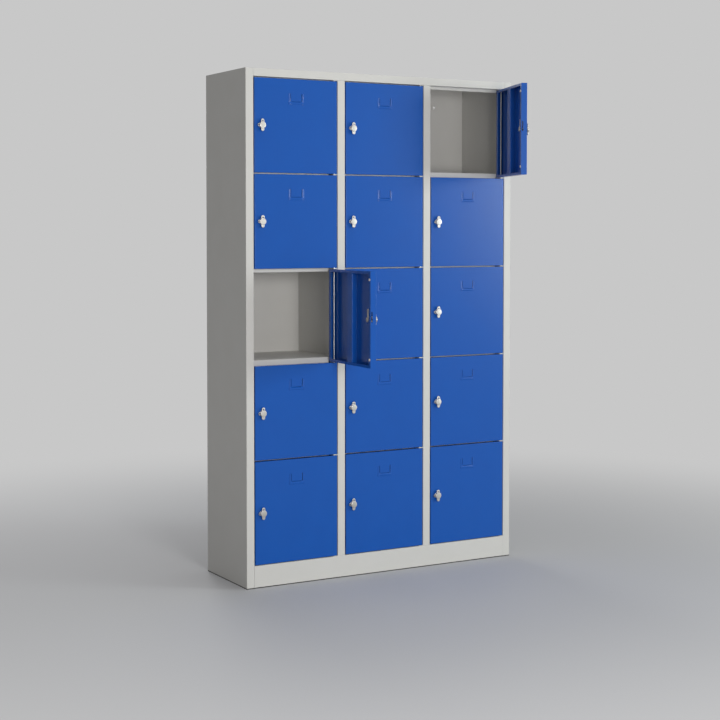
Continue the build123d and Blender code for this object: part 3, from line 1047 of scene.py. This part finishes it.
def load_plate(x, z):
    """A square plate with rounded corners round its hole, flat against the back panel."""

    def square(inset, depth):
        half = plate_size / 2 - inset
        points = []
        for step in range(plate_steps):
            angle = 2 * math.pi * (step + 0.5) / plate_steps
            reach = half / max(abs(math.cos(angle)), abs(math.sin(angle)))
            radius = min(reach, half * math.sqrt(2) - plate_corner * (math.sqrt(2) - 1))
            points.append((radius * math.cos(angle), depth, radius * math.sin(angle)))
        return points

    near = inner_face - plate_sheet
    rings = [
        square(small_edge, near),
        square(0, near + small_edge),
        square(0, inner_face),
        circle(wall_hole_radius, inner_face, plate_steps),
        circle(wall_hole_radius, near, plate_steps),
    ]
    bm = skin(rings, closed=True)
    bm.transform(Matrix.Translation((x, 0, z)))
    return as_mesh(bm, "load plate")


# %% Rivets and load plates in place
rivet_template = domed_head()
rivet_step = Vector((0, 0, (body_height - 2 * rivet_end_inset) / (rivet_count - 1)))
column_pitch = latch_turns["c2_r2"]["pos_m"][0] - latch_turns["c1_r2"]["pos_m"][0]
fasteners = []
for divider in (1, 2):
    divider_x = -body_width / 2 + stile_width / 2 + divider * column_pitch
    x = divider_x + divider_flange / 2
    rear = Vector((x, back_face, rivet_end_inset))
    front = Vector((x, flange_face, rivet_end_inset))
    fasteners.append(row_of(rivet_template, rear, rivet_step, rivet_count, 0, zinc))
    fasteners.append(row_of(rivet_template, front, rivet_step, rivet_count, math.pi, zinc))
rivet_mesh = smoothed(together("rivets", fasteners, zinc))
ride_on("rivets", rivet_mesh, Matrix(), "cabinet", ["back_fasteners"])

plate_x = body_width / 2 - wall_hole_side_inset
plates = [load_plate(x, body_height - wall_hole_drop) for x in (-plate_x, plate_x)]
plate_mesh = smoothed(together("load plates", plates, body_paint))
ride_on("load_plates", plate_mesh, Matrix(), "cabinet")
print("rivet heads", len(fasteners) * rivet_count, "and load plates", len(plates))

# %% Welds of the back flanges
weld_step = Vector((0, 0, (body_height - 2 * flange_weld_end) / (flange_weld_count - 1)))
flange_rows = []
for side in (-1, 1):
    flange_x = side * (body_width / 2 - flange_weld_inset)
    first = Vector((flange_x, back_flange_face - weld_rim, flange_weld_end))
    flange_rows.append(row_of(weld_template, first, weld_step, flange_weld_count, 0, body_paint))
flange_welds = smoothed(together("back flange welds", flange_rows, body_paint))
ride_on("back_flange_welds", flange_welds, Matrix(), "cabinet")
for template in (buffer_template, weld_template, rivet_template):
    bpy.data.objects.remove(template)
print("back flange welds", 2 * flange_weld_count)

# %% [markdown]
# ## Floor, background and light
#
# The cabinet stands on a plain, dull floor that fades into a pale background, so no horizon cuts
# behind it. The lamps are soft discs. One stands in front of the doors, low enough to shine into
# the gaps between them, and a wide one stands far to the right, where its mirror image gives the
# right-hand doors their sheen; the left side lies in shade. One above lights the top, and a weak
# one behind keeps the back from going dark. Light Path lets the camera, mirrors and glass see the
# pale background while the world lights the object more weakly, so a colour renders about as
# written.

# %% Floor that fades into the background
backdrop_colour = linear("#C8C8C8")
floor_colour = "#BEBFC2"
floor_shaded_colour = "#B7B8BC"
floor_grain = 6 * mm
floor_roughness = 0.6
floor_ior = 1.2  # duller than any real floor, so that no lamp glares in it from behind
floor_size = 60
fade_start = 0.9
fade_end = 3.4


def background_ray(tree):
    """1 for a ray that sees the background: from the camera, off a mirror or through glass."""
    path = add_node(tree, "ShaderNodeLightPath").outputs
    direct = add_node(
        tree,
        "ShaderNodeMath",
        {"operation": "MAXIMUM"},
        {0: path["Is Camera Ray"], 1: path["Is Glossy Ray"]},
    )
    shown = add_node(
        tree,
        "ShaderNodeMath",
        {"operation": "MAXIMUM"},
        {0: direct.outputs[0], 1: path["Is Transmission Ray"]},
    )
    return shown.outputs[0]


def floor_material():
    """A dull, faintly grained floor that turns into the background colour far from the cabinet."""
    material, tree, output, place = new_material("sealed floor, pale grey")
    grain = add_node(
        tree,
        "ShaderNodeTexNoise",
        {"Scale": per_metre(floor_grain), "Detail": 2.0},
        {"Vector": place},
    )
    shade = add_node(
        tree,
        "ShaderNodeMix",
        {"data_type": "RGBA", 6: linear(floor_colour), 7: linear(floor_shaded_colour)},
        {0: grain.outputs[0]},
    )
    surface = add_node(
        tree,
        "ShaderNodeBsdfPrincipled",
        {"Roughness": floor_roughness, "IOR": floor_ior},
        {"Base Color": shade.outputs[2]},
    )
    reach = add_node(tree, "ShaderNodeVectorMath", {"operation": "LENGTH"}, {0: place})
    fade = add_node(
        tree,
        "ShaderNodeMapRange",
        {"interpolation_type": "SMOOTHSTEP", "From Min": fade_start, "From Max": fade_end},
        {"Value": reach.outputs["Value"]},
    )
    share = add_node(
        tree,
        "ShaderNodeMath",
        {"operation": "MULTIPLY"},
        {0: fade.outputs[0], 1: background_ray(tree)},
    )
    distance = add_node(tree, "ShaderNodeEmission", {"Color": backdrop_colour})
    mix = add_node(
        tree,
        "ShaderNodeMixShader",
        {},
        {0: share.outputs[0], 1: surface.outputs[0], 2: distance.outputs[0]},
    )
    tree.links.new(mix.outputs[0], output.inputs[0])
    return material


def floor_plane():
    """One wide square under the cabinet, with the floor material."""
    half = floor_size / 2
    corners = [(-half, -half, 0), (half, -half, 0), (half, half, 0), (-half, half, 0)]
    mesh = bpy.data.meshes.new("floor")
    mesh.from_pydata(corners, [], [(0, 1, 2, 3)])
    give_finish(mesh, floor_material())
    in_scene("floor", mesh)


floor_plane()
print("the floor fades from", fade_start, "to", fade_end, "m from the middle")

# %% World and lamps
ambient_colour = "#FFFEFB"
ambient_level = 0.25


def world_light():
    """A weak, even light on the object, with the pale background where it is seen."""
    world = bpy.data.worlds.new("studio")
    world.use_nodes = True
    tree = world.node_tree
    tree.nodes.clear()
    ambient = add_node(
        tree, "ShaderNodeBackground", {"Color": linear(ambient_colour), "Strength": ambient_level}
    )
    backdrop = add_node(tree, "ShaderNodeBackground", {"Color": backdrop_colour})
    mix = add_node(
        tree,
        "ShaderNodeMixShader",
        {},
        {0: background_ray(tree), 1: ambient.outputs[0], 2: backdrop.outputs[0]},
    )
    add_node(tree, "ShaderNodeOutputWorld", {}, {0: mix.outputs[0]})
    bpy.context.scene.world = world


def area_lamp(name, place, target, size, watts, colour):
    """A soft round lamp, its size across in metres, that shines from its place at a target."""
    data = bpy.data.lights.new(name, "AREA")
    data.shape = "DISK"
    data.size = size
    data.energy = watts
    data.color = linear(colour)[:3]
    lamp = in_scene(name, data)
    lamp.location = place
    lamp.rotation_euler = (Vector(target) - Vector(place)).to_track_quat("-Z", "Y").to_euler()
    lamp.visible_camera = False


world_light()
area_lamp("front", (-0.95, -4.6, 1.45), (0, 0, 1.0), 1.4, 95, "#FFFDFB")
area_lamp("window", (5.1, -4.45, 1.9), (0.3, 0, 1.2), 2.4, 174, "#F0F8F6")
area_lamp("back", (0.6, 5.0, 2.6), (0.0, 0, 1.0), 2.0, 60, "#FFFFFF")
area_lamp("ceiling", (0.2, -0.6, 5.2), (0.0, 0, 0.0), 3.2, 60, "#FFFFFF")
bpy.context.scene.view_settings.view_transform = "Standard"
print("lamps", sorted(lamp.name for lamp in bpy.data.lights))
